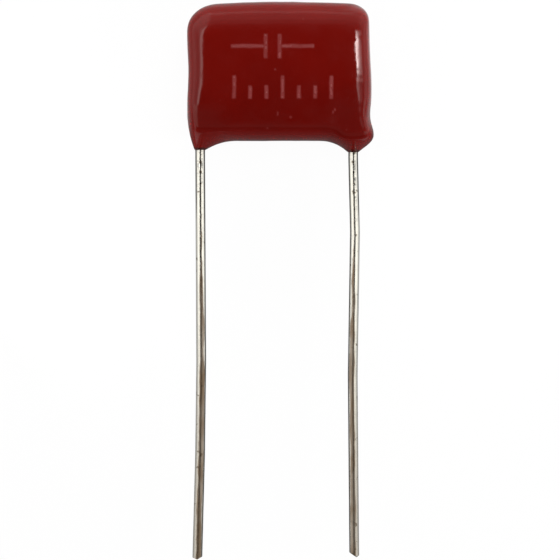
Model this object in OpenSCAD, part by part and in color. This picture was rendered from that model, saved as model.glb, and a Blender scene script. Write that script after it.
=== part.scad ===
// Dipped metallized film capacitor with two radial wire leads.
//
// It lies on its flat back: X runs from the left lead to the right one, Y from the leads up the
// body, Z from the back face to the front face. The origin is the middle of the back face.

/* [Winding] */
// Height of the flattened film roll
roll_h = 7.3; // [5:0.1:14]
// Thickness of the flattened film roll
roll_t = 3.7; // [2.4:0.1:4.8]
// Height of the slit that the flattened mandrel hole leaves in the roll
slit_h = 3.2; // [1.5:0.1:4]
// Width of that slit
slit_gap = 0.1; // [0.05:0.01:0.2]
// Thickness of the plain cover film round the roll
wrap_t = 0.15; // [0.05:0.01:0.3]

/* [End contacts] */
// Thickness of the zinc sprayed on each end of the roll
spray_t = 0.45; // [0.3:0.05:0.8]
// Depth to which a lead is welded into the sprayed zinc
weld_depth = 0.1; // [0.04:0.01:0.2]
// Length of sprayed end left free above a lead's inner end
weld_margin = 1.5; // [0.8:0.1:2.5]

/* [Leads] */
// Distance between the leads
pitch = 10; // [7.5:0.5:22.5]
// Diameter of the lead wire
lead_d = 0.65; // [0.5:0.05:0.8]
// Radius of every bend in the leads
bend_r = 1.5; // [1:0.1:1.9]
// Angle at which the tips are cut
tip_angle = 28; // [0:1:40]
// Straight length of each lead below the coat, before its first bend
stub = 0.3; // [0.1:0.1:2]
// Left lead: first bend, inwards
left_bend_1 = 0.3; // [0.2:0.1:3]
// Left lead: second bend, outwards
left_bend_2 = 1; // [0.2:0.1:3]
// Left lead: third bend, outwards
left_bend_3 = 0.8; // [0.2:0.1:3]
// Left lead: length after the first bend
left_upper = 13.3; // [3:0.1:20]
// Left lead: length after the second bend
left_middle = 5.9; // [2:0.1:15]
// Left lead: length after the third bend, down to the tip
left_lower = 7; // [4:0.1:15]
// Right lead: first bend, outwards
right_bend_1 = 1.4; // [0.2:0.1:3]
// Right lead: second bend, inwards
right_bend_2 = 2.3; // [0.2:0.1:3]
// Right lead: third bend, outwards
right_bend_3 = 1.4; // [0.2:0.1:3]
// Right lead: length after the first bend
right_upper = 4.6; // [3:0.1:20]
// Right lead: length after the second bend
right_middle = 9.4; // [2:0.1:15]
// Right lead: length after the third bend, down to the tip
right_lower = 12; // [4:0.1:15]

/* [Coating] */
// Coat over the flat faces of the wrapped roll
coat_face = 0.5; // [0.3:0.05:0.8]
// Coat over the round top of the wrapped roll
coat_top = 0.75; // [0.5:0.05:1]
// Coat under the round bottom of the wrapped roll
coat_bottom = 0.7; // [0.5:0.05:1]
// Coat outside the left lead
coat_left = 0.53; // [0.4:0.01:0.9]
// Coat outside the right lead
coat_right = 0.8; // [0.4:0.01:0.9]
// Coat round a lead where the coat ends on it
coat_end = 0.07; // [0.04:0.01:0.1]
// Top left corner radius of the outline
corner_left = 1.9; // [0.8:0.05:2]
// Top right corner radius of the outline
corner_right = 1.3; // [0.8:0.05:2]
// How far the top edge falls towards its left corner
top_fall = 0.08; // [0:0.01:0.15]
// Width of the rounded border beside each flat face, at the sides
border_side = 1.1; // [0.7:0.05:1.3]
// Width of that border at the top
border_top = 1.85; // [1:0.05:2]
// Width of that border at the bottom
border_bottom = 0.85; // [0.7:0.05:1.2]
// Corner radius of the flat faces
face_corner = 0.9; // [0.5:0.05:1.2]
// How far the flat faces spread outwards at their lower left corner
low_spread = 0.3; // [0:0.05:0.4]

/* [Menisci and drip] */
// How far the coat runs down the left lead
drop_left = 0.66; // [0.3:0.02:1.2]
// How far the coat runs down the right lead
drop_right = 0.8; // [0.3:0.02:1.2]
// Length of the arch beside the left lead
arch_left = 2.1; // [0.8:0.05:2.4]
// Length of the arch beside the right lead
arch_right = 1.7; // [0.8:0.05:2.4]
// Height over the bottom edge at which the left side starts to lean in to its lead
taper_up = 1.7; // [1.2:0.1:2.4]
// How far the set drip stands out beside the right lead
drip_out = 0.24; // [0.05:0.01:0.4]
// Height of the drip's tip over the bottom edge
drip_up = 0.42; // [0.2:0.02:0.6]
// Height over the bottom edge at which the right side is flat again above the drip
waist_up = 1.55; // [1.2:0.05:2]
// Height over the bottom edge at which the right side swells
swell_up = 2.9; // [2.4:0.1:4]
// How far the sides swell and sink along their height
side_wave = 0.08; // [0:0.01:0.15]

/* [Hidden] */

round_fn = 64;
stretch_steps = 8;      // points along each stretch of the outline
border_steps = 7;       // rings between a flat face and the rim

lead_r = lead_d / 2;
wrapped_h = roll_h + 2 * wrap_t;
wrapped_t = roll_t + 2 * wrap_t;
body_h = wrapped_h + coat_top + coat_bottom;
body_t = wrapped_t + 2 * coat_face;
mid_z = body_t / 2;
top_y = body_h / 2;
seat_y = -body_h / 2;                           // bottom edge between the leads
roll_y = seat_y + coat_bottom + wrapped_h / 2;
lead_x = pitch / 2;
contact_x = lead_x - lead_r + weld_depth;       // outer face of a sprayed end
film_x = contact_x - spray_t;                   // end of the films
lead_top_y = roll_y + wrapped_h / 2 - weld_margin;
end_left_y = seat_y - drop_left;                // ends of the coat on the leads
end_right_y = seat_y - drop_right;

// ---- curves ----

function mix(a, b, t) = a + (b - a) * t;
function ease(t) = t * t * (3 - 2 * t);
function heading(angle) = [cos(angle), sin(angle)];
function bezier(p, t) =
    pow(1 - t, 3) * p[0] + 3 * t * pow(1 - t, 2) * p[1] + 3 * t * t * (1 - t) * p[2] + pow(t, 3) * p[3];

// A knot is [place, heading]. The curve between two knots of one circle is that circle's arc.
function between(a, b, t) =
    let (
        turn = (b[1] - a[1] + 540) % 360 - 180,
        reach = norm(b[0] - a[0]) / (3 * pow(cos(turn / 4), 2))
    )
    bezier([a[0], a[0] + reach * heading(a[1]), b[0] - reach * heading(b[1]), b[0]], t);

// ---- the coat ----

end_r = lead_r + coat_end;
lip = end_r / 5;                                // rise of the coat's end beside a lead
rim_left = -lead_x - lead_r - coat_left;
rim_right = lead_x + lead_r + coat_right;

face_left = rim_left + border_side;
face_right = rim_right - border_side;
face_top = top_y - border_top;
face_bottom = seat_y + border_bottom;
low_left = [face_left - low_spread + face_corner, face_bottom + face_corner];
low_right = [face_right - face_corner, face_bottom + face_corner];

// A knot on a corner of the flat faces
function corner_knot(center, at) = [center + face_corner * heading(at), at + 90];

// Section of the border from a flat face down to the rim: how far out its first and its second
// handle reach, then the heights of the second handle and of its end, all as shares of the
// border's width and of half the thickness
top_edge = [0.72, 1, 0.6, 0.12];                // over the roll's round top
bottom_edge = [0.55, 1, 0.6, 0.12];
left_edge = [0.55, 1, 0.8, 0.5];                // over its flat ends
right_edge = [0.82, 1, 0.8, 0.5];
lead_edge = [0.45, 0.6, 0.3, end_r / mid_z];    // sweeping down to a lead
neck_edge = [0.45, 0.65, 0.35, end_r / body_t]; // beside a lead
drip_edge = [0.5, 0.9, 0.5, 0.16];

// Stations round the coat, from the left lead along the bottom: rim knot, face knot, section
stations = [
    [[[-lead_x, end_left_y], 0], corner_knot(low_left, 225), lead_edge],
    [[[-lead_x + end_r, end_left_y + lip], 33], corner_knot(low_left, 240), neck_edge],
    [[[-lead_x + end_r + arch_left, seat_y], 0],
     [[low_left.x + face_corner / 2, face_bottom], 0], bottom_edge],
    [[[lead_x - end_r - arch_right, seat_y], 0],
     [[low_right.x - face_corner / 2, face_bottom], 0], bottom_edge],
    [[[lead_x - end_r, end_right_y + lip], -44], corner_knot(low_right, 300), neck_edge],
    [[[lead_x, end_right_y], 0], corner_knot(low_right, 315), lead_edge],
    [[[lead_x + end_r, end_right_y + lip], 44], corner_knot(low_right, 330), neck_edge],
    [[[rim_right + drip_out, seat_y + drip_up], 93], corner_knot(low_right, 360), drip_edge],
    [[[rim_right, seat_y + waist_up], 92],
     [[face_right, mix(low_right.y, seat_y + swell_up, 1 / 2)], 90], right_edge],
    [[[rim_right + side_wave, seat_y + swell_up], 90],
     [[face_right, seat_y + swell_up], 90], right_edge],
    [[[rim_right - side_wave, top_y - corner_right], 90],
     corner_knot([face_right - face_corner, face_top - face_corner], 0), right_edge],
    [[[rim_right - side_wave - corner_right, top_y - top_fall / 2], 178],
     corner_knot([face_right - face_corner, face_top - face_corner], 90), top_edge],
    [[[rim_left + corner_left, top_y - top_fall], 184],
     corner_knot([face_left + face_corner, face_top - face_corner], 90), top_edge],
    [[[rim_left, top_y - corner_left], 270],
     corner_knot([face_left + face_corner, face_top - face_corner], 180), left_edge],
    [[[rim_left + side_wave, roll_y], 270], [[face_left, roll_y], 270], left_edge],
    [[[rim_left, seat_y + taper_up], 270], corner_knot(low_left, 180), left_edge],
    [[[-lead_x - end_r, end_left_y + lip], 290], corner_knot(low_left, 210), neck_edge]
];

// Point of the coat's front half: t along the stretch after station i, u across the border
function coat_point(i, t, u) =
    let (
        here = stations[i],
        next = stations[(i + 1) % len(stations)],
        edge = mix(here[2], next[2], ease(t)),
        out = bezier([0, edge[0], edge[1], 1], u),
        place = mix(between(here[1], next[1], t), between(here[0], next[0], t), out)
    )
    [place.x, place.y, mid_z * bezier([1, 1, edge[2], edge[3]], u)];

function coat_ring(u, side) = [
    for (i = [0:len(stations) - 1], s = [0:stretch_steps - 1])
        let (p = coat_point(i, s / stretch_steps, u))
        [p.x, p.y, mid_z + side * p.z]
];

module coat_body() {
    rings = [
        for (k = [0:border_steps]) coat_ring(k / border_steps, 1),
        for (k = [border_steps:-1:0]) coat_ring(k / border_steps, -1)
    ];
    n = len(rings[0]);
    last = len(rings) - 1;
    front = n * len(rings);
    middle = [(face_left + face_right) / 2, (face_top + face_bottom) / 2];
    points = [
        for (ring = rings) each ring,
        [middle.x, middle.y, body_t],
        [middle.x, middle.y, 0]
    ];
    walls = [
        for (k = [0:last - 1], j = [0:n - 1])
            let (a = k * n + j, b = k * n + (j + 1) % n)
            each [[a, b, a + n], [b, b + n, a + n]]
    ];
    caps = [
        for (j = [0:n - 1])
            let (a = j, b = (j + 1) % n)
            each [[front, b, a], [front + 1, last * n + a, last * n + b]]
    ];
    polyhedron(points = points, faces = concat(walls, caps), convexity = 4);
}

module epoxy_coating() {
    color([0.42, 0.05, 0.04])
    difference() {
        coat_body();
        wound_block();
        lead_root(-1);
        lead_root(1);
    }
}

// ---- the wound element ----

// A flattened roll lying along X, from -half to half
module flat_roll(half, h, t) {
    translate([-half, roll_y, mid_z])
    rotate([90, 0, 90])
    linear_extrude(2 * half)
    stadium(h, t);
}

module stadium(h, t) {
    square([h - t, t], center = true);
    for (side = [-1, 1])
        translate([side * (h - t) / 2, 0])
        circle(d = t, $fn = round_fn);
}

module wound_block() {
    flat_roll(contact_x, wrapped_h, wrapped_t);
}

module film_winding() {
    color([0.86, 0.87, 0.84])
    difference() {
        flat_roll(film_x, roll_h, roll_t);
        flat_roll(film_x + spray_t, slit_h, slit_gap);
    }
}

module cover_film() {
    color([0.93, 0.9, 0.78])
    difference() {
        flat_roll(film_x, wrapped_h, wrapped_t);
        flat_roll(film_x + spray_t, roll_h, roll_t);
    }
}

module end_spray(side) {
    color([0.62, 0.63, 0.64])
    difference() {
        translate([side * (film_x + contact_x) / 2, 0, 0])
        flat_roll(spray_t / 2, wrapped_h, wrapped_t);
        lead_root(side);
    }
}

module end_spray_left() { end_spray(-1); }

module end_spray_right() { end_spray(1); }

// ---- the leads ----

// The straight part of a lead inside the coat, and a stretch of it below
module lead_root(side, below = end_r) {
    bottom_y = (side < 0 ? end_left_y : end_right_y) - below;
    translate([side * lead_x, bottom_y, mid_z])
    rotate([-90, 0, 0])
    cylinder(h = lead_top_y - bottom_y, d = lead_d, $fn = round_fn);
}

// A bend that turns a wire running down Y towards +X, or towards -X for a negative angle
module bend(angle) {
    way = sign(angle);
    mirror([way < 0 ? 1 : 0, 0, 0])
    translate([bend_r, 0, 0])
    rotate(180)
    rotate_extrude(angle = abs(angle), $fn = round_fn)
    translate([bend_r, 0])
    circle(d = lead_d, $fn = round_fn);
    translate([way * bend_r * (1 - cos(angle)), -bend_r * sin(abs(angle)), 0])
    rotate(angle)
    children();
}

// Wire running down Y: for each stretch a bend and then a straight length, the last one cut
module wire(bends, lengths, cut, i = 0) {
    bend(bends[i]) {
        if (i == len(lengths) - 1)
            wire_tip(lengths[i], cut);
        else {
            rotate([90, 0, 0]) cylinder(h = lengths[i], d = lead_d, $fn = round_fn);
            translate([0, -lengths[i], 0]) wire(bends, lengths, cut, i + 1);
        }
    }
}

module wire_tip(length, cut) {
    difference() {
        rotate([90, 0, 0]) cylinder(h = length + lead_d, d = lead_d, $fn = round_fn);
        translate([0, -length, 0])
        rotate(cut)
        translate([-2 * lead_d, -2 * lead_d, -lead_d])
        cube([4 * lead_d, 2 * lead_d, 2 * lead_d]);
    }
}

module lead(side, bends, lengths, cut) {
    end_y = side < 0 ? end_left_y : end_right_y;
    color([0.78, 0.77, 0.73]) {
        lead_root(side, stub);
        translate([side * lead_x, end_y - stub, mid_z])
        wire(bends, lengths, cut);
    }
}

module lead_left() {
    lead(-1, [left_bend_1, -left_bend_2, -left_bend_3], [left_upper, left_middle, left_lower],
         tip_angle);
}

module lead_right() {
    lead(1, [right_bend_1, -right_bend_2, right_bend_3], [right_upper, right_middle, right_lower],
         -tip_angle);
}

epoxy_coating();
film_winding();
cover_film();
end_spray_left();
end_spray_right();
lead_left();
lead_right();
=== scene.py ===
import math

import bpy
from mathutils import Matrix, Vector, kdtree


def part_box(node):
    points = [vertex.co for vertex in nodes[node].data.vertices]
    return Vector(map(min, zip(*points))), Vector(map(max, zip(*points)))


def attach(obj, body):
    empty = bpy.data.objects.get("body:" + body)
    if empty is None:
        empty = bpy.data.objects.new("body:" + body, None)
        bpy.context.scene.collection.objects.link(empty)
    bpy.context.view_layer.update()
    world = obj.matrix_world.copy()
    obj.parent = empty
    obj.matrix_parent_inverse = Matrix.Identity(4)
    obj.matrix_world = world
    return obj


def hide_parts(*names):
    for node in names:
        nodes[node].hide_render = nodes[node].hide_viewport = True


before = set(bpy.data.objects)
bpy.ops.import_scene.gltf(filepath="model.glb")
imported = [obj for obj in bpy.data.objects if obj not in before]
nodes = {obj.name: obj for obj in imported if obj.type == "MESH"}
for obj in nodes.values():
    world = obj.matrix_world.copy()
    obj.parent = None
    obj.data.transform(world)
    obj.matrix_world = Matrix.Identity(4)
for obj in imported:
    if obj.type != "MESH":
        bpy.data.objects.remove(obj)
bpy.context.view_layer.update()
print("frame loaded:", len(nodes), "pieces")

mm = 0.001         # pieces are modelled in millimetres and brought to metres at the end
wireRadius = 0.325
wireX = 5          # how far each wire stands from the middle where it leaves the coat
smoothUpTo = 40    # degrees


# helpers

def only(obj):
    bpy.ops.object.select_all(action="DESELECT")
    obj.select_set(True)
    bpy.context.view_layer.objects.active = obj


def scaleBy(obj, factor):
    only(obj)
    obj.scale = (factor, factor, factor)
    bpy.ops.object.transform_apply(location=True, rotation=True, scale=True)


def applyModifiers(obj):
    only(obj)
    for mod in list(obj.modifiers):
        bpy.ops.object.modifier_apply(modifier=mod.name)


def pickFaces(mesh, test):
    # selects the faces whose middle passes the test, and nothing else
    for part in (mesh.vertices, mesh.edges, mesh.polygons):
        part.foreach_set("select", [False] * len(part))
    for face in mesh.polygons:
        face.select = test(face.center)


def boxOf(name):
    low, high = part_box(name)
    return [v / mm for v in low], [v / mm for v in high]


def toMetres(obj):
    scaleBy(obj, mm)
    bpy.ops.object.shade_smooth_by_angle(angle=math.radians(smoothUpTo))


def sinkBy(obj, name, size, depth, basis="BLENDER_ORIGINAL"):
    # pushes the surface in by up to depth, so the piece stays in its CAD box
    tex = bpy.data.textures.new(name, "CLOUDS")
    tex.noise_basis = basis
    tex.noise_scale = size
    mod = obj.modifiers.new(name, "DISPLACE")
    mod.texture = tex
    mod.texture_coords = "LOCAL"
    mod.strength = depth
    mod.mid_level = 1


# material helpers

def startMaterial(name):
    mat = bpy.data.materials.new(name)
    mat.use_nodes = True
    tree = mat.node_tree
    shader = tree.nodes["Principled BSDF"]
    coords = tree.nodes.new("ShaderNodeTexCoord").outputs["Object"]
    return mat, tree, shader, coords


def inMillimetres(tree, coords):
    # the three coordinates apart, in millimetres
    split = tree.nodes.new("ShaderNodeSeparateXYZ")
    tree.links.new(coords, split.inputs[0])
    return [calc(tree, "MULTIPLY", split.outputs[axis], 1 / mm) for axis in "XYZ"]


def noise(tree, coords, scale, detail=3, stretch=None):
    if stretch:
        mapping = tree.nodes.new("ShaderNodeMapping")
        mapping.inputs["Scale"].default_value = stretch
        tree.links.new(coords, mapping.inputs["Vector"])
        coords = mapping.outputs["Vector"]
    node = tree.nodes.new("ShaderNodeTexNoise")
    node.inputs["Scale"].default_value = scale
    node.inputs["Detail"].default_value = detail
    tree.links.new(coords, node.inputs["Vector"])
    return node.outputs["Fac"]


def remap(tree, value, fromLow, fromHigh, toLow, toHigh):
    node = tree.nodes.new("ShaderNodeMapRange")
    node.interpolation_type = "SMOOTHSTEP"
    tree.links.new(value, node.inputs["Value"])
    for key, number in (("From Min", fromLow), ("From Max", fromHigh),
                        ("To Min", toLow), ("To Max", toHigh)):
        node.inputs[key].default_value = number
    return node.outputs["Result"]


def calc(tree, how, a, b=None, c=None):
    node = tree.nodes.new("ShaderNodeMath")
    node.operation = how
    for i, value in enumerate((a, b, c)):
        if value is None:
            continue
        if isinstance(value, (int, float)):
            node.inputs[i].default_value = value
        else:
            tree.links.new(value, node.inputs[i])
    return node.outputs[0]


def spread(tree, value, low, high):
    # noise lies mostly between 0.3 and 0.7
    return remap(tree, value, 0.3, 0.7, low, high)


def gap(tree, a, b):
    # how far apart two values are
    return calc(tree, "ABSOLUTE", calc(tree, "SUBTRACT", a, b))


def times(tree, first, *others):
    for other in others:
        first = calc(tree, "MULTIPLY", first, other)
    return first


def sumOf(tree, first, *others):
    for other in others:
        first = calc(tree, "ADD", first, other)
    return first


def ramps(tree, places, steps):
    # soft ramps multiplied; each names a place and has its start and end there and its value at both
    return times(tree, *[remap(tree, places[name], *numbers) for name, *numbers in steps])


def blendColours(tree, fac, a, b):
    node = tree.nodes.new("ShaderNodeMix")
    node.data_type = "RGBA"
    tree.links.new(fac, node.inputs["Factor"])
    for key, value in (("A", a), ("B", b)):
        socket = [s for s in node.inputs if s.name == key and s.type == "RGBA"][0]
        if isinstance(value, tuple):
            socket.default_value = (*value, 1)
        else:
            tree.links.new(value, socket)
    return [s for s in node.outputs if s.type == "RGBA"][0]


def bump(tree, shader, *layers):
    # each layer is (height, distance in metres)
    normal = None
    for height, distance in layers:
        node = tree.nodes.new("ShaderNodeBump")
        node.inputs["Strength"].default_value = 1
        node.inputs["Distance"].default_value = distance
        tree.links.new(height, node.inputs["Height"])
        if normal:
            tree.links.new(normal, node.inputs["Normal"])
        normal = node.outputs["Normal"]
    tree.links.new(normal, shader.inputs["Normal"])


# the dipped coat

coat = {
    # lengths in millimetres
    "voxel": 0.08,
    "weld": 0.002,              # points closer than this are one
    "slip": 0.01,               # how far off the winding's block and the bores a face may lie
    "evenOut": 10,              # rounds of smoothing
    "softBorder": 40,           # and of smoothing the height alone
    "dropsAcross": (2.9, 4.3),  # the drops round the leads begin this far from the middle
    "dropHeight": (0.985, 0.20),  # half height at the body and at the wire, as a part of the body's
    "thinning": (-1.8, -4.4, 0.035),  # the body thins a little before that: from, to and by how much
    "dropPower": 2.3,           # 2 gives a drop a round border, more gives a fuller one
    "sag": (1.6, 0.035),        # size and depth of the cured coat's slow waves
    "ripple": (0.5, 0.008),     # and of its small ones
    "hollowRound": 24,
    "hollowFlat": 0.0005,       # half the flat strip left between the hollow's round sides
    "boreRound": 48,
    "boreOver": 1,              # how far a bore's cutter runs past the coat
}
# along is where a drop begins, taper where it narrows to the wire, round the width of its border at
# the body and at the wire, and bare the stretch above the wire's end whose wall doesn't count
leftDrop = {"x": -wireX, "along": (-1.8, -3.5), "taper": (-3.7, -5.5), "round": (0.76, 0.45), "bare": 0.3}
rightDrop = {"x": wireX, "along": (-1.0, -3.0), "taper": (-4.3, -5.64), "round": (0.66, 0.45), "bare": 0.3}

epoxy = {
    "red": (0.146, 0.0040, 0.0023),
    # painted shade: the coat's red is darker towards the bottom, going from the low red below to the other
    # red above
    "redInPaintedShade": (0.096, 0.0026, 0.0016),
    "paintedShadeByHeight": (-4.5, 3.5, 0.12, 0.88),  # from the low red to the other, by height
    "cloud": 260, "cloudy": 0.12,       # scale and strength of the clouds in it
    # painted shade: the coat turns nearly black where it ends on a lead
    "endShadeRed": (0.020, 0.001, 0.001),
    "end": (-5.06, -4.93, 0.85, 0),     # the dark ring where the coat ends on a lead
    "endLean": 0.014,                   # lower on the right
    "endNoise": 3000, "endRagged": 0.08,
    # dust under the gloss: cells, size of a grain, and the patches it lies in
    "dust": 750, "grain": (0.04, 0.10, 1, 0), "dustPatch": 420, "dusty": (0.46, 0.56, 0, 0.5),
    "roughness": (0.06, 0.12), "roughPatch": 900, "inkRoughness": 0.2,
    "ior": 1.45,
    "glossTint": (1.0, 0.86, 0.84, 1),
    # scale and detail of the bumps, and their depth in metres
    "swell": (700, 1), "swellDepth": 0.000006,
    "pores": (2600, 2), "poreDepth": 0.0000012,
    "markDepth": 0.000004,
}

mark = {
    # two rows of plain ink strokes, in millimetres: a capacitor's circuit sign over a row of ticks
    "signAt": (-0.2, 1.6), "plateGap": 0.45, "plateHeight": 0.78, "signReach": 2.7,
    "ticksAt": (0.45, -1.05), "tickStep": 1.05, "tickHeight": 0.42, "longTick": 0.74, "ticksReach": 3.7,
    "stroke": 0.115,            # half width of a stroke
    "soft": 0.075,
    "rowEnd": 0.02,
    "shake": 1100, "shakeReach": 0.00012,  # what makes the strokes uneven, reach in metres
    "front": (4.75, 4.85, 0, 1),           # the ink lies on the front face alone
    "wear": 1500, "worn": (0.30, 0.60, 0.70, 1),
    "ink": (0.190, 0.028, 0.027),
    # small scratches: place, half width and half length
    "nicks": ((0.12, -2.78, 0.03, 0.12), (3.72, -2.66, 0.035, 0.10), (3.84, -2.50, 0.03, 0.09),
              (-0.03, 0.10, 0.05, 0.05), (-0.55, -3.72, 0.06, 0.03)),
}


def bar(tree, across, along, halfAcross, halfAlong):
    # 1 inside a rectangle with soft edges; across and along are measured from its middle
    soft = mark["soft"]
    inAcross = remap(tree, across, halfAcross - soft, halfAcross + soft, 1, 0)
    return times(tree, inAcross, remap(tree, along, halfAlong - soft, halfAlong + soft, 1, 0))


def inkMask(tree, coords):
    shake = tree.nodes.new("ShaderNodeTexNoise")
    shake.inputs["Scale"].default_value = mark["shake"]
    tree.links.new(coords, shake.inputs["Vector"])
    wavy = tree.nodes.new("ShaderNodeVectorMath")
    wavy.operation = "MULTIPLY_ADD"
    tree.links.new(shake.outputs["Color"], wavy.inputs[0])
    wavy.inputs[1].default_value = [mark["shakeReach"]] * 3
    tree.links.new(coords, wavy.inputs[2])
    x, y, z = inMillimetres(tree, wavy.outputs[0])
    stroke = mark["stroke"]

    # the sign: two plates and their two wires
    signX, signY = mark["signAt"]
    across, up = gap(tree, x, signX), gap(tree, y, signY)
    plates = bar(tree, gap(tree, across, mark["plateGap"]), up, stroke, mark["plateHeight"])
    middle = (mark["plateGap"] + mark["signReach"]) / 2
    wires = bar(tree, gap(tree, across, middle), up, mark["signReach"] - middle, stroke)

    # the ticks, every third one long
    ticksX, ticksY = mark["ticksAt"]
    across, foot = gap(tree, x, ticksX), calc(tree, "SUBTRACT", y, ticksY - mark["longTick"])
    inRow = remap(tree, across, mark["ticksReach"], mark["ticksReach"] + mark["rowEnd"], 1, 0)
    ticks = []
    for every, height in ((1, mark["tickHeight"]), (3, mark["longTick"])):
        fromTick = calc(tree, "PINGPONG", across, mark["tickStep"] * every / 2)
        ticks.append(times(tree, bar(tree, fromTick, gap(tree, foot, height), stroke, height), inRow))

    nicks = [bar(tree, gap(tree, x, atX), gap(tree, y, atY), halfWidth, halfLength)
             for atX, atY, halfWidth, halfLength in mark["nicks"]]
    ink = plates
    for part in (wires, *ticks, *nicks):
        ink = calc(tree, "MAXIMUM", ink, part)
    front = remap(tree, z, *mark["front"])
    worn = remap(tree, noise(tree, coords, mark["wear"]), *mark["worn"])
    return times(tree, ink, front, worn)


def coatMaterial():
    mat, tree, shader, coords = startMaterial("redDippedEpoxy")
    x, y = inMillimetres(tree, coords)[:2]
    cloud = spread(tree, noise(tree, coords, epoxy["cloud"]), -epoxy["cloudy"], epoxy["cloudy"])
    # painted shade, darker towards the bottom, mixed with clouds of random tone
    litTowardsTop = remap(tree, y, *epoxy["paintedShadeByHeight"])
    red = blendColours(tree, sumOf(tree, litTowardsTop, cloud), epoxy["redInPaintedShade"], epoxy["red"])
    ink = inkMask(tree, coords)
    cells = tree.nodes.new("ShaderNodeTexVoronoi")
    cells.inputs["Scale"].default_value = epoxy["dust"]
    tree.links.new(coords, cells.inputs["Vector"])
    dust = times(tree, remap(tree, cells.outputs["Distance"], *epoxy["grain"]),
                 remap(tree, noise(tree, coords, epoxy["dustPatch"]), *epoxy["dusty"]))
    marked = calc(tree, "MAXIMUM", ink, dust)
    # painted shade in a dark ring where the coat ends on each lead, lower on the right
    fromEnd = sumOf(tree, y, times(tree, x, epoxy["endLean"]),
                    times(tree, noise(tree, coords, epoxy["endNoise"]), epoxy["endRagged"]))
    paintedEndShade = remap(tree, fromEnd, *epoxy["end"])
    red = blendColours(tree, paintedEndShade, blendColours(tree, marked, red, mark["ink"]), epoxy["endShadeRed"])
    tree.links.new(red, shader.inputs["Base Color"])
    rough = spread(tree, noise(tree, coords, epoxy["roughPatch"]), *epoxy["roughness"])
    tree.links.new(sumOf(tree, rough, times(tree, ink, epoxy["inkRoughness"])), shader.inputs["Roughness"])
    shader.inputs["IOR"].default_value = epoxy["ior"]
    shader.inputs["Specular Tint"].default_value = epoxy["glossTint"]
    bump(tree, shader, (noise(tree, coords, *epoxy["swell"]), epoxy["swellDepth"]),
         (noise(tree, coords, *epoxy["pores"]), epoxy["poreDepth"]), (marked, epoxy["markDepth"]))
    return mat


def ease(value, start, end):
    share = min(max((value - start) / (end - start), 0), 1)
    return share * share * (3 - 2 * share)


def roundDrops(skin, midZ):
    # gives the drops a round border that follows their outline
    def onWire(place, drop):
        return place.y < drop["taper"][1] + drop["bare"] and abs(place.x - drop["x"]) < drop["round"][1]

    wall = [v.co for v in skin.data.vertices if abs(v.co.z - midZ) < coat["voxel"]
            and not onWire(v.co, leftDrop) and not onWire(v.co, rightDrop)]
    outline = kdtree.KDTree(len(wall))
    for i, place in enumerate(wall):
        outline.insert((place.x, place.y, 0), i)
    outline.balance()
    power = coat["dropPower"]
    thinFrom, thinTo, thinBy = coat["thinning"]
    for vertex in skin.data.vertices:
        x, y, z = vertex.co
        drop = leftDrop if x < 0 else rightDrop
        share = ease(y, *drop["along"]) * ease(abs(x), *coat["dropsAcross"])
        if share == 0:
            continue
        narrow = ease(y, *drop["taper"])
        width, height = (a + narrow * (b - a) for a, b in (drop["round"], coat["dropHeight"]))
        height *= 1 - thinBy * ease(y, thinFrom, thinTo)
        near = max(1 - outline.find((x, y, 0))[2] / width, 0)
        out = z / midZ - 1
        full = math.copysign(height * (1 - near ** power) ** (1 / power), out)
        vertex.co.z = midZ * (1 + out + share * (full - out))


def windingBlock():
    # the box that the wound element takes up
    low, high = boxOf("cover_film")
    low[0], high[0] = boxOf("end_spray_left")[0][0], boxOf("end_spray_right")[1][0]
    return low, high


def openSkin(skin, low, high, midZ):
    # leaves the outer skin alone: the hollow for the winding and the bores are cut again later
    only(skin)
    bpy.ops.object.mode_set(mode="EDIT")
    bpy.ops.mesh.select_mode(type="FACE")
    bpy.ops.mesh.select_all(action="SELECT")
    bpy.ops.mesh.remove_doubles(threshold=coat["weld"])
    bpy.ops.object.mode_set(mode="OBJECT")
    slip = coat["slip"]

    def inside(c):
        inBlock = all(low[i] - slip <= c[i] <= high[i] + slip for i in range(3))
        inBore = any(math.hypot(c[0] - drop["x"], c[2] - midZ) < wireRadius + slip
                     for drop in (leftDrop, rightDrop))
        return inBlock or inBore

    pickFaces(skin.data, inside)
    bpy.ops.object.mode_set(mode="EDIT")
    bpy.ops.mesh.delete(type="FACE")
    bpy.ops.mesh.select_all(action="SELECT")
    bpy.ops.mesh.fill_holes(sides=0)
    bpy.ops.object.mode_set(mode="OBJECT")


def voxelGrid(skin):
    mod = skin.modifiers.new("evenGrid", "REMESH")
    mod.mode = "VOXEL"
    mod.voxel_size = coat["voxel"]


def settleSkin(skin, midZ):
    # round drops on an even grid, then the slow waves and small ripples that the coat cures with
    voxelGrid(skin)
    applyModifiers(skin)
    roundDrops(skin, midZ)
    voxelGrid(skin)
    for name in ("evenOut", "softBorder"):
        mod = skin.modifiers.new(name, "SMOOTH")
        mod.iterations = coat[name]
    mod.use_x = mod.use_y = False
    sinkBy(skin, "sag", *coat["sag"])
    sinkBy(skin, "ripple", *coat["ripple"])
    applyModifiers(skin)


def makeHollow(low, high):
    # the wound block's room, with its two long sides round
    size = [b - a for a, b in zip(low, high)]
    middle = [(b + a) / 2 for a, b in zip(low, high)]
    bpy.ops.mesh.primitive_cube_add(size=1, location=middle, scale=size)
    hollow = bpy.context.object
    only(hollow)
    bpy.ops.object.transform_apply(location=True, rotation=True, scale=True)
    bpy.ops.object.mode_set(mode="EDIT")
    bpy.ops.mesh.select_all(action="DESELECT")
    bpy.ops.mesh.select_mode(type="EDGE")
    bpy.ops.object.mode_set(mode="OBJECT")
    for edge in hollow.data.edges:
        a, b = (hollow.data.vertices[i].co for i in edge.vertices)
        edge.select = abs(a.x - b.x) > size[0] / 2
    bpy.ops.object.mode_set(mode="EDIT")
    roundness = size[2] / 2 - coat["hollowFlat"]
    bpy.ops.mesh.bevel(offset=roundness, segments=coat["hollowRound"], affect="EDGES")
    bpy.ops.object.mode_set(mode="OBJECT")
    return hollow


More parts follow.
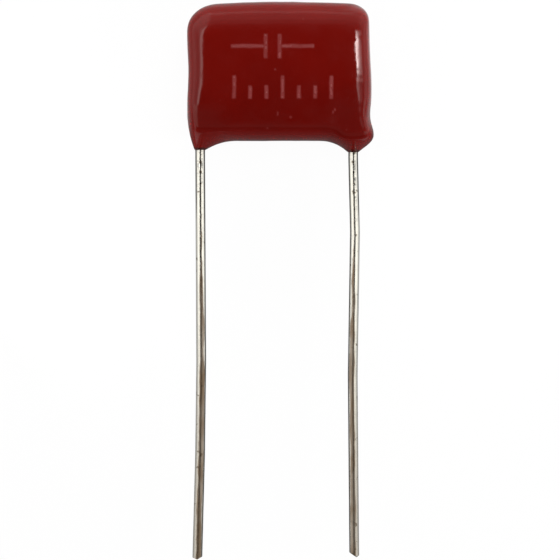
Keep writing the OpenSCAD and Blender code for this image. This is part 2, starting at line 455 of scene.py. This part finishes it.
def makeBore(x, bottom, top, midZ):
    bpy.ops.mesh.primitive_cylinder_add(vertices=coat["boreRound"], radius=wireRadius, depth=top - bottom,
                                        location=(x, (top + bottom) / 2, midZ),
                                        rotation=(math.pi / 2, 0, 0))
    bore = bpy.context.object
    only(bore)
    bpy.ops.object.transform_apply(location=True, rotation=True, scale=True)
    return bore


def makeCoat():
    skin = bpy.data.objects.new("coatSkin", nodes["epoxy_coating"].data.copy())
    bpy.context.collection.objects.link(skin)
    scaleBy(skin, 1 / mm)
    low, high = windingBlock()
    midZ = (low[2] + high[2]) / 2
    openSkin(skin, low, high, midZ)
    settleSkin(skin, midZ)
    print("coat skin:", len(skin.data.polygons), "faces")

    bottom, top = skin.bound_box[0][1] - coat["boreOver"], boxOf("lead_left")[1][1]
    cutters = [makeHollow(low, high)]
    cutters += [makeBore(drop["x"], bottom, top, midZ) for drop in (leftDrop, rightDrop)]
    for cutter in cutters:
        mod = skin.modifiers.new("cut", "BOOLEAN")
        mod.operation = "DIFFERENCE"
        mod.solver = "EXACT"
        mod.object = cutter
    applyModifiers(skin)
    for cutter in cutters:
        bpy.data.objects.remove(cutter)
    toMetres(skin)
    skin.data.materials.clear()
    skin.data.materials.append(coatMaterial())
    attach(skin, "root")
    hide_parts("epoxy_coating")
    print("coat done:", len(skin.data.polygons), "faces")


makeCoat()

# the leads

lead = {
    # lengths in millimetres
    "round": 32,
    "step": 0.25,
    "bendRadius": 1.5,
    "sink": (0.9, 0.012),       # size and depth of the tin's unevenness
    "tipRound": 0.025, "tipSteps": 2, "tipAngle": 25,
    "ringSlip": 0.01,           # how much higher than its middle a ring's points may lie
}
# bends in degrees, each followed by a straight length; cuts at the tip: angle, and how far back
leftLead = {
    "name": "leadWireLeft", "node": "lead_left", "x": -wireX, "coatEnd": -5.485,
    "bends": (0.3, -1.0, -0.8), "lengths": (13.3, 5.9, 7.0), "cuts": ((32, -0.12), (-20, -0.12)),
}
rightLead = {
    "name": "leadWireRight", "node": "lead_right", "x": wireX, "coatEnd": -5.625,
    "bends": (1.4, -2.3, 1.4), "lengths": (4.6, 9.4, 12.0), "cuts": ((-34, 0.14), (37, -0.08)),
}

tin = {
    "bright": (0.88, 0.86, 0.79),
    # painted dark reflection: the dark colour of the stripe on the inner side, also used for the darkening
    # towards the tip
    "darkening": (0.29, 0.205, 0.135),
    # random stained spots, and also blots of painted dark reflection just under the coat
    "stainAndDarkReflection": (0.16, 0.12, 0.08),
    "edgeTint": (0.95, 0.95, 0.94, 1),
    # the lines that drawing leaves along the wire, and patches in the tin; depths in metres
    "drawn": (5200, 2, (1, 0.06, 1)), "drawnDepth": 0.000004,
    "patches": (900, 3), "patchDepth": 0.000016,
    "roughness": (0.07, 0.15), "darkeningRoughness": 0.26,
    # the stripe of painted dark reflection: its middle (0 is the wire's own, 1 its inner side), half width
    # by height, soft edge and how far that edge wanders
    "stripeAt": 0.17, "stripe": (-20, -6, 0.54, -0.08), "stripeSoft": 0.14,
    "stripeNoise": (1900, 4, (1, 0.3, 1)), "stripeWander": 0.15,
    "cloud": 420, "cloudLeast": 0.75,
    "tipDarkening": (-29, -12, 0.38, 0),
    "spotNoise": (2350, 2), "spots": (0.66, 0.74, 0, 0.8),
    # blots of painted dark reflection just under the coat, along the wire's dark middle line: height and
    # half length of each, then where they lie across, how narrow and how ragged they are, and their soft
    # edge
    "paintedBlots": ((-5.90, 0.34), (-6.55, 0.20), (-7.30, 0.12)),
    "blotAt": 0.02, "blotNarrow": 3.4, "blotRagged": 0.35, "blotEdge": (0.7, 1.2, 0.95, 0),
}


def wireMaterial():
    mat, tree, shader, coords = startMaterial("tinnedWire")
    height = inMillimetres(tree, coords)[1]
    drawn = noise(tree, coords, *tin["drawn"])
    patches = noise(tree, coords, *tin["patches"])
    attribute = tree.nodes.new("ShaderNodeAttribute")
    attribute.attribute_name = "inward"
    inward = attribute.outputs["Fac"]

    # painted dark reflection runs in a stripe that widens towards the tip, a little on the inner side; the
    # whole wire also darkens towards the tip
    wander = tin["stripeWander"]
    uneven = spread(tree, noise(tree, coords, *tin["stripeNoise"]), -wander, wander)
    reach = sumOf(tree, remap(tree, height, *tin["stripe"]), uneven)
    pastEdge = calc(tree, "SUBTRACT", gap(tree, inward, tin["stripeAt"]), reach)
    stripe = remap(tree, pastEdge, -tin["stripeSoft"], tin["stripeSoft"], 1, 0)
    cloudy = spread(tree, noise(tree, coords, tin["cloud"]), tin["cloudLeast"], 1)
    darkening = calc(tree, "MAXIMUM", times(tree, stripe, cloudy), remap(tree, height, *tin["tipDarkening"]))

    # random stained spots, then blots of painted dark reflection on the wire's middle just under the coat
    stainsAndPaintedBlots = remap(tree, noise(tree, coords, *tin["spotNoise"]), *tin["spots"])
    aside = times(tree, gap(tree, inward, tin["blotAt"]), tin["blotNarrow"])
    ragged = spread(tree, drawn, -tin["blotRagged"], tin["blotRagged"])
    for place, halfLength in tin["paintedBlots"]:
        away = sumOf(tree, times(tree, gap(tree, height, place), 1 / halfLength), aside, ragged)
        stainsAndPaintedBlots = calc(tree, "MAXIMUM", stainsAndPaintedBlots, remap(tree, away, *tin["blotEdge"]))

    colour = blendColours(tree, darkening, tin["bright"], tin["darkening"])
    tree.links.new(blendColours(tree, stainsAndPaintedBlots, colour, tin["stainAndDarkReflection"]), shader.inputs["Base Color"])
    shader.inputs["Metallic"].default_value = 1
    shader.inputs["Specular Tint"].default_value = tin["edgeTint"]
    rough = sumOf(tree, spread(tree, patches, *tin["roughness"]), times(tree, darkening, tin["darkeningRoughness"]))
    tree.links.new(rough, shader.inputs["Roughness"])
    bump(tree, shader, (drawn, tin["drawnDepth"]), (patches, tin["patchDepth"]))
    return mat


def markInward(wire, path):
    # how far each point lies towards the other lead, from -1 to 1
    inward = wire.data.attributes.new("inward", "FLOAT", "POINT")
    side = math.copysign(1, -path[0][0])
    slip = lead["ringSlip"]
    for i, vertex in enumerate(wire.data.vertices):
        y = vertex.co.y
        above = min((p for p in path if p[1] >= y - slip), key=lambda p: p[1], default=path[0])
        below = max((p for p in path if p[1] < y - slip), key=lambda p: p[1], default=path[-1])
        fall = above[1] - below[1]
        share = (above[1] - y) / fall if fall else 0
        middle = above[0] + (below[0] - above[0]) * share
        inward.data[i].value = (vertex.co.x - middle) / wireRadius * side


def makeLead(spec, material):
    low, high = boxOf(spec["node"])
    midZ = (low[2] + high[2]) / 2
    place = [spec["x"], high[1], midZ]
    path = [tuple(place)]
    heading = 0.0
    bpy.ops.object.select_all(action="DESELECT")
    bpy.ops.mesh.primitive_circle_add(vertices=lead["round"], radius=wireRadius, fill_type="NGON",
                                      location=place, rotation=(math.pi / 2, 0, 0))
    wire = bpy.context.object
    wire.name = spec["name"]
    only(wire)
    bpy.ops.object.transform_apply(location=True, rotation=True, scale=True)
    bpy.ops.object.mode_set(mode="EDIT")
    bpy.ops.mesh.select_mode(type="FACE")
    bpy.ops.mesh.select_all(action="SELECT")

    def run(length):
        steps = max(1, round(length / lead["step"]))
        for _ in range(steps):
            move = (math.sin(heading) * length / steps, -math.cos(heading) * length / steps, 0)
            bpy.ops.mesh.extrude_region_move(TRANSFORM_OT_translate={"value": move})
            for i in range(3):
                place[i] += move[i]
            path.append(tuple(place))

    run(high[1] - spec["coatEnd"])
    *lengths, lastLength = spec["lengths"]
    for bend, length in zip(spec["bends"], (*lengths, lastLength + wireRadius)):
        turn = math.radians(bend)
        heading += turn / 2
        arc = lead["bendRadius"] * abs(turn)
        extra = max(lead["step"] - arc, 0)
        run(arc + extra)
        bpy.ops.transform.rotate(value=-turn, orient_axis="Z", center_override=tuple(place))
        heading += turn / 2
        run(length - extra)
    # slanting cuts, as cutters leave the tip
    for angle, back in spec["cuts"]:
        short = wireRadius + back
        tip = (place[0] - short * math.sin(heading), place[1] + short * math.cos(heading), midZ)
        cut = heading + math.radians(angle)
        bpy.ops.mesh.select_all(action="SELECT")
        bpy.ops.mesh.bisect(plane_co=tip, plane_no=(math.sin(cut), -math.cos(cut), 0),
                            use_fill=True, clear_outer=True)
    bpy.ops.object.mode_set(mode="OBJECT")
    markInward(wire, path)
    mod = wire.modifiers.new("softTip", "BEVEL")
    mod.limit_method = "ANGLE"
    mod.angle_limit = math.radians(lead["tipAngle"])
    mod.width = lead["tipRound"]
    mod.segments = lead["tipSteps"]
    sinkBy(wire, "tinCoat" + spec["name"], *lead["sink"], basis="IMPROVED_PERLIN")
    applyModifiers(wire)
    toMetres(wire)
    wire.data.materials.append(material)
    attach(wire, "root")
    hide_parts(spec["node"])
    print(spec["name"], "done:", len(wire.data.polygons), "faces")


tinned = wireMaterial()
makeLead(leftLead, tinned)
makeLead(rightLead, tinned)

# the wound element inside

winding = {
    # noise (scale, detail, stretch), the two colours it mixes, and the depth of its bump in metres
    "woundFilm": {"noise": (4000, 2, (0.02, 0.3, 1)), "colours": ((0.38, 0.39, 0.39), (0.62, 0.63, 0.62)),
                  "metallic": 0.7, "roughness": 0.3, "clear": 0, "depth": 0.000008},
    "coverFilm": {"noise": (500,), "colours": ((0.80, 0.74, 0.56), (0.88, 0.85, 0.74)),
                  "metallic": 0, "roughness": 0.25, "clear": 0.3, "depth": 0.00001},
    "sprayedZinc": {"noise": (7000, 4), "colours": ((0.34, 0.35, 0.36), (0.52, 0.53, 0.54)),
                    "metallic": 0.9, "roughness": 0.75, "clear": 0, "depth": 0.00004},
}
madeOf = {"film_winding": "woundFilm", "cover_film": "coverFilm",
          "end_spray_left": "sprayedZinc", "end_spray_right": "sprayedZinc"}


def windingMaterial(name):
    spec = winding[name]
    mat, tree, shader, coords = startMaterial(name)
    grain = noise(tree, coords, *spec["noise"])
    tree.links.new(blendColours(tree, grain, *spec["colours"]), shader.inputs["Base Color"])
    shader.inputs["Metallic"].default_value = spec["metallic"]
    shader.inputs["Roughness"].default_value = spec["roughness"]
    shader.inputs["Transmission Weight"].default_value = spec["clear"]
    bump(tree, shader, (grain, spec["depth"]))
    return mat


finishes = {name: windingMaterial(name) for name in winding}
for name, finish in madeOf.items():
    nodes[name].data.materials.clear()
    nodes[name].data.materials.append(finishes[finish])
print("inner pieces dressed")

# studio

studio = {
    # the view, in millimetres
    "viewWidth": 36.6013,
    "centre": (0.216, -13.60),
    "focusHeight": 2.5,
    "lens": 250,
    "sensor": 36,
    # the camera's reach, the floor and the light round it, in metres
    "clip": (0.01, 20),
    "floorSize": 4,
    "floorDrop": 0.00002,
    "paper": ((0.86, 0.86, 0.86), (0.9, 0.9, 0.9)),
    "paperGrain": 900,
    "paperRoughness": 0.9,
    "whiteShare": 0.95,         # how much of the floor's colour is pure white
    "fill": 0.30,               # plain light from all round
}


def makeCamera():
    data = bpy.data.cameras.new("camera")
    camera = bpy.data.objects.new("camera", data)
    bpy.context.collection.objects.link(camera)
    data.lens, data.sensor_width = studio["lens"], studio["sensor"]
    data.clip_start, data.clip_end = studio["clip"]
    away = studio["viewWidth"] * studio["lens"] / studio["sensor"]
    x, y = studio["centre"]
    camera.location = (x * mm, y * mm, (studio["focusHeight"] + away) * mm)
    bpy.context.scene.camera = camera


def whiteWhereSeen(tree, share):
    # share where the eye, a reflection or clear film meets it, and 0 elsewhere
    path = tree.nodes.new("ShaderNodeLightPath")
    seen = calc(tree, "MAXIMUM", path.outputs["Is Camera Ray"], path.outputs["Is Glossy Ray"])
    seen = calc(tree, "MAXIMUM", seen, path.outputs["Is Transmission Ray"])
    return calc(tree, "MULTIPLY", seen, share)


def makeWorld():
    world = bpy.data.worlds.new("studioLight")
    bpy.context.scene.world = world
    world.use_nodes = True
    tree = world.node_tree
    fill = tree.nodes["Background"]
    fill.inputs["Color"].default_value = (1, 1, 1, 1)
    fill.inputs["Strength"].default_value = studio["fill"]
    white = tree.nodes.new("ShaderNodeBackground")
    white.inputs["Color"].default_value = (1, 1, 1, 1)
    white.inputs["Strength"].default_value = 1
    mix = tree.nodes.new("ShaderNodeMixShader")
    tree.links.new(whiteWhereSeen(tree, 1), mix.inputs["Fac"])
    tree.links.new(fill.outputs[0], mix.inputs[1])
    tree.links.new(white.outputs[0], mix.inputs[2])
    tree.links.new(mix.outputs[0], tree.nodes["World Output"].inputs["Surface"])


def makeFloor():
    bpy.ops.object.select_all(action="DESELECT")
    bpy.ops.mesh.primitive_plane_add(size=studio["floorSize"], location=(0, 0, -studio["floorDrop"]))
    floor = bpy.context.object
    floor.name = "paleFloor"
    mat, tree, shader, coords = startMaterial("palePaper")
    grain = noise(tree, coords, studio["paperGrain"])
    tree.links.new(blendColours(tree, grain, *studio["paper"]), shader.inputs["Base Color"])
    shader.inputs["Roughness"].default_value = studio["paperRoughness"]
    shader.inputs["Specular IOR Level"].default_value = 0
    glow = tree.nodes.new("ShaderNodeEmission")
    mix = tree.nodes.new("ShaderNodeMixShader")
    tree.links.new(whiteWhereSeen(tree, studio["whiteShare"]), mix.inputs["Fac"])
    tree.links.new(shader.outputs[0], mix.inputs[1])
    tree.links.new(glow.outputs[0], mix.inputs[2])
    tree.links.new(mix.outputs[0], tree.nodes["Material Output"].inputs["Surface"])
    floor.data.materials.append(mat)


# what only the gloss sees: the room as a dome, the table, and two light boxes; each glow is a
# product of ramps: place, from, to, and the brightness at the two ends

room = {
    "radius": 1.5,
    "segments": 64,
    "rings": 32,
    # places are parts of the dome's radius; the brighter of these two counts, the rest is added up
    "left": (("x", -0.30, -0.14, 0.55, 0), ("y", -0.30, -0.08, 0, 1)),
    "leftHorizon": (("x", -0.95, -0.70, 0.75, 0), ("y", -0.8, -0.4, 0, 1)),
    "more": {
        "leftWindow": (("x", -0.62, -0.28, 0, 2.1), ("x", -0.23, -0.19, 1, 0),
                       ("y", -0.02, 0.035, 0, 1), ("y", 0.30, 0.45, 1, 0)),
        "right": (("x", 0.25, 0.60, 0, 0.45), ("y", -0.25, 0.0, 0.25, 1)),
        "rightHorizon": (("x", 0.75, 0.97, 0, 0.45), ("y", -0.45, -0.05, 0.4, 1)),
        "back": (("y", 0.08, 0.70, 0, 0.50),),
        "backLine": (("y", 0.93, 0.95, 0, 0.45), ("y", 0.97, 0.99, 1, 0)),
        "front": (("y", -0.90, -0.15, 0.06, 0),),
    },
}

table = {
    # painted light and shadow of the table: bright beside the leads, dark between them and in front of the
    # coat, where the body shades it; ramps in millimetres.
    # near is added up and fades out at nearEnds, where far takes over
    "place": (0, 0, -0.00001),
    "size": (2.6, 2.6),
    "least": 0.11,
    "near": {
        "besideLeads": (("across", 7.1, 8.8, 0, 1), ("y", -10, -8, 1, 0), ("across", 18, 26, 0.42, 0)),
        "underBody": (("y", -5, -1.5, 0, 0.30),),
        "rightSide": (("x", 4.5, 7, 0, 0.55), ("y", -3.4, -0.4, 0, 1)),
    },
    "nearEnds": (("across", 25, 45, 1, 0),),
    "far": (("across", 25, 45, 0, 0.45),),
}

leadBox = {
    # a soft box over the leads, with a dark wavy slot along them; ramps in millimetres
    "place": (0, -0.035, 0.20),
    "size": (1.2, 0.13),
    "tint": (1, 0.98, 0.93, 1),
    "wave": 0.6, "waveReach": (-26, 40),
    "slot": (-30, 4, 90, 56),           # half width by height
    "slotEdge": (0, 24, 0, 1),
    "light": (-50, -12, 0.62, 1.2),
    "slotLight": (-40, -8, 0.13, 0.05),
    "upperEnd": (-2, 1, 1, 0), "upperLean": -0.023,
}

rightWindow = {
    # the small bright window by the coat's right edge; ramps in millimetres
    "place": (0.018, 0.0011, 0.025),
    "size": (0.018, 0.0112),
    "fade": (0.34, -3.1),               # halvings of its light by place across
    "parts": {
        "tail": (("y", -4.5, 0.8, 0, 0.11),),
        "main": (("y", 0.4, 2.0, 0, 0.89),),
    },
    "ends": (("y", 3.6, 5.4, 1, 0.34), ("y", 5.8, 6.7, 1, 0)),
    "light": 31,
}


def addedUp(tree, places, glows):
    return sumOf(tree, *[ramps(tree, places, steps) for steps in glows.values()])


def glowMaterial(name):
    mat = bpy.data.materials.new(name)
    mat.use_nodes = True
    tree = mat.node_tree
    tree.nodes.remove(tree.nodes["Principled BSDF"])
    glow = tree.nodes.new("ShaderNodeEmission")
    tree.links.new(glow.outputs[0], tree.nodes["Material Output"].inputs["Surface"])
    split = tree.nodes.new("ShaderNodeSeparateXYZ")
    tree.links.new(tree.nodes.new("ShaderNodeTexCoord").outputs["Object"], split.inputs[0])
    return mat, tree, glow, split


def onlyInGloss(obj, name):
    obj.name = name
    obj.visible_camera = obj.visible_diffuse = obj.visible_shadow = obj.visible_transmission = False


def glossCard(name, spec):
    # a card seen only in gloss; its own coordinates run from -1 to 1, and it is clear where its
    # mix shader is at 0
    place, size = spec["place"], spec["size"]
    bpy.ops.object.select_all(action="DESELECT")
    bpy.ops.mesh.primitive_plane_add(size=2, location=place)
    card = bpy.context.object
    card.scale = (size[0] / 2, size[1] / 2, 1)
    mat, tree, glow, split = glowMaterial(name + "Glow")
    x = calc(tree, "MULTIPLY_ADD", split.outputs["X"], size[0] / 2 / mm, place[0] / mm)
    y = calc(tree, "MULTIPLY_ADD", split.outputs["Y"], size[1] / 2 / mm, place[1] / mm)
    clear = tree.nodes.new("ShaderNodeBsdfTransparent")
    mix = tree.nodes.new("ShaderNodeMixShader")
    mix.inputs["Fac"].default_value = 1
    tree.links.new(clear.outputs[0], mix.inputs[1])
    tree.links.new(glow.outputs[0], mix.inputs[2])
    tree.links.new(mix.outputs[0], tree.nodes["Material Output"].inputs["Surface"])
    card.data.materials.append(mat)
    onlyInGloss(card, name)
    return tree, glow, {"x": x, "y": y, "across": calc(tree, "ABSOLUTE", x)}


def makeRoom():
    bpy.ops.object.select_all(action="DESELECT")
    bpy.ops.mesh.primitive_uv_sphere_add(segments=room["segments"], ring_count=room["rings"], radius=1)
    dome = bpy.context.object
    dome.scale = [room["radius"]] * 3
    mat, tree, glow, split = glowMaterial("roomGlow")
    places = {"x": split.outputs["X"], "y": split.outputs["Y"]}
    left, horizon = (ramps(tree, places, room[name]) for name in ("left", "leftHorizon"))
    left = calc(tree, "MAXIMUM", left, horizon)
    tree.links.new(sumOf(tree, left, addedUp(tree, places, room["more"])), glow.inputs["Strength"])
    dome.data.materials.append(mat)
    onlyInGloss(dome, "roomRound")


def makeTableShade():
    # the table as the gloss sees it
    tree, glow, places = glossCard("tableShade", table)
    near = sumOf(tree, addedUp(tree, places, table["near"]), table["least"])
    near = times(tree, near, ramps(tree, places, table["nearEnds"]))
    tree.links.new(sumOf(tree, near, ramps(tree, places, table["far"])), glow.inputs["Strength"])


def makeLeadBox():
    tree, glow, places = glossCard("boxOverLeads", leadBox)
    wave = tree.nodes.new("ShaderNodeTexNoise")
    wave.noise_dimensions = "1D"
    wave.inputs["Scale"].default_value = leadBox["wave"]
    tree.links.new(places["y"], wave.inputs["W"])
    moved = sumOf(tree, places["x"], spread(tree, wave.outputs["Fac"], *leadBox["waveReach"]))
    halfSlot = remap(tree, places["y"], *leadBox["slot"])
    fromSlot = calc(tree, "SUBTRACT", calc(tree, "ABSOLUTE", moved), halfSlot)
    bright = times(tree, remap(tree, fromSlot, *leadBox["slotEdge"]),
                   remap(tree, places["y"], *leadBox["light"]))
    dim = remap(tree, places["y"], *leadBox["slotLight"])
    tree.links.new(sumOf(tree, bright, dim), glow.inputs["Strength"])
    glow.inputs["Color"].default_value = leadBox["tint"]
    leaning = calc(tree, "MULTIPLY_ADD", places["across"], leadBox["upperLean"], places["y"])
    tree.links.new(remap(tree, leaning, *leadBox["upperEnd"]), tree.nodes["Mix Shader"].inputs["Fac"])


def makeRightWindow():
    tree, glow, places = glossCard("rightWindow", rightWindow)
    fade = calc(tree, "POWER", 0.5, calc(tree, "MULTIPLY_ADD", places["x"], *rightWindow["fade"]))
    light = times(tree, fade, addedUp(tree, places, rightWindow["parts"]),
                  ramps(tree, places, rightWindow["ends"]), rightWindow["light"])
    tree.links.new(light, glow.inputs["Strength"])


lamps = {
    # place and size in metres; light is what the lamp gives a white card that faces it
    "keyBack": {"place": (0.015, 0.105, 0.040), "size": (0.14, 0.035), "light": 1.2},
    "sideLeft": {"place": (-0.22, 0.0, 0.075), "size": (0.05, 0.2), "light": 0.42},
    "sideRight": {"place": (0.22, -0.05, 0.075), "size": (0.05, 0.2), "light": 0.78},
    "front": {"place": (0.0, -0.22, 0.10), "size": (0.2, 0.05), "light": 0.26},
    "lowLeft": {"place": (-0.020, -0.012, 0.005), "size": (0.004, 0.008), "light": 0.34},
    "lowRight": {"place": (0.022, -0.012, 0.005), "size": (0.004, 0.008), "light": 0.16},
    "overhead": {"place": (0.06, 0.05, 0.30), "size": (0.1, 0.1), "light": 0.12},
}


def makeLamps():
    for name, spec in lamps.items():
        data = bpy.data.lights.new(name, "AREA")
        lamp = bpy.data.objects.new(name, data)
        bpy.context.collection.objects.link(lamp)
        data.shape = "RECTANGLE"
        data.size, data.size_y = spec["size"]
        lamp.location = spec["place"]
        data.energy = spec["light"] * math.pi ** 2 * lamp.location.length_squared
        lamp.rotation_euler = (-lamp.location).to_track_quat("-Z", "Y").to_euler()
        lamp.visible_glossy = False


makeCamera()
makeWorld()
makeFloor()
makeRoom()
makeTableShade()
makeLeadBox()
makeRightWindow()
makeLamps()
bpy.context.scene.view_settings.view_transform = "Standard"
print("studio ready")
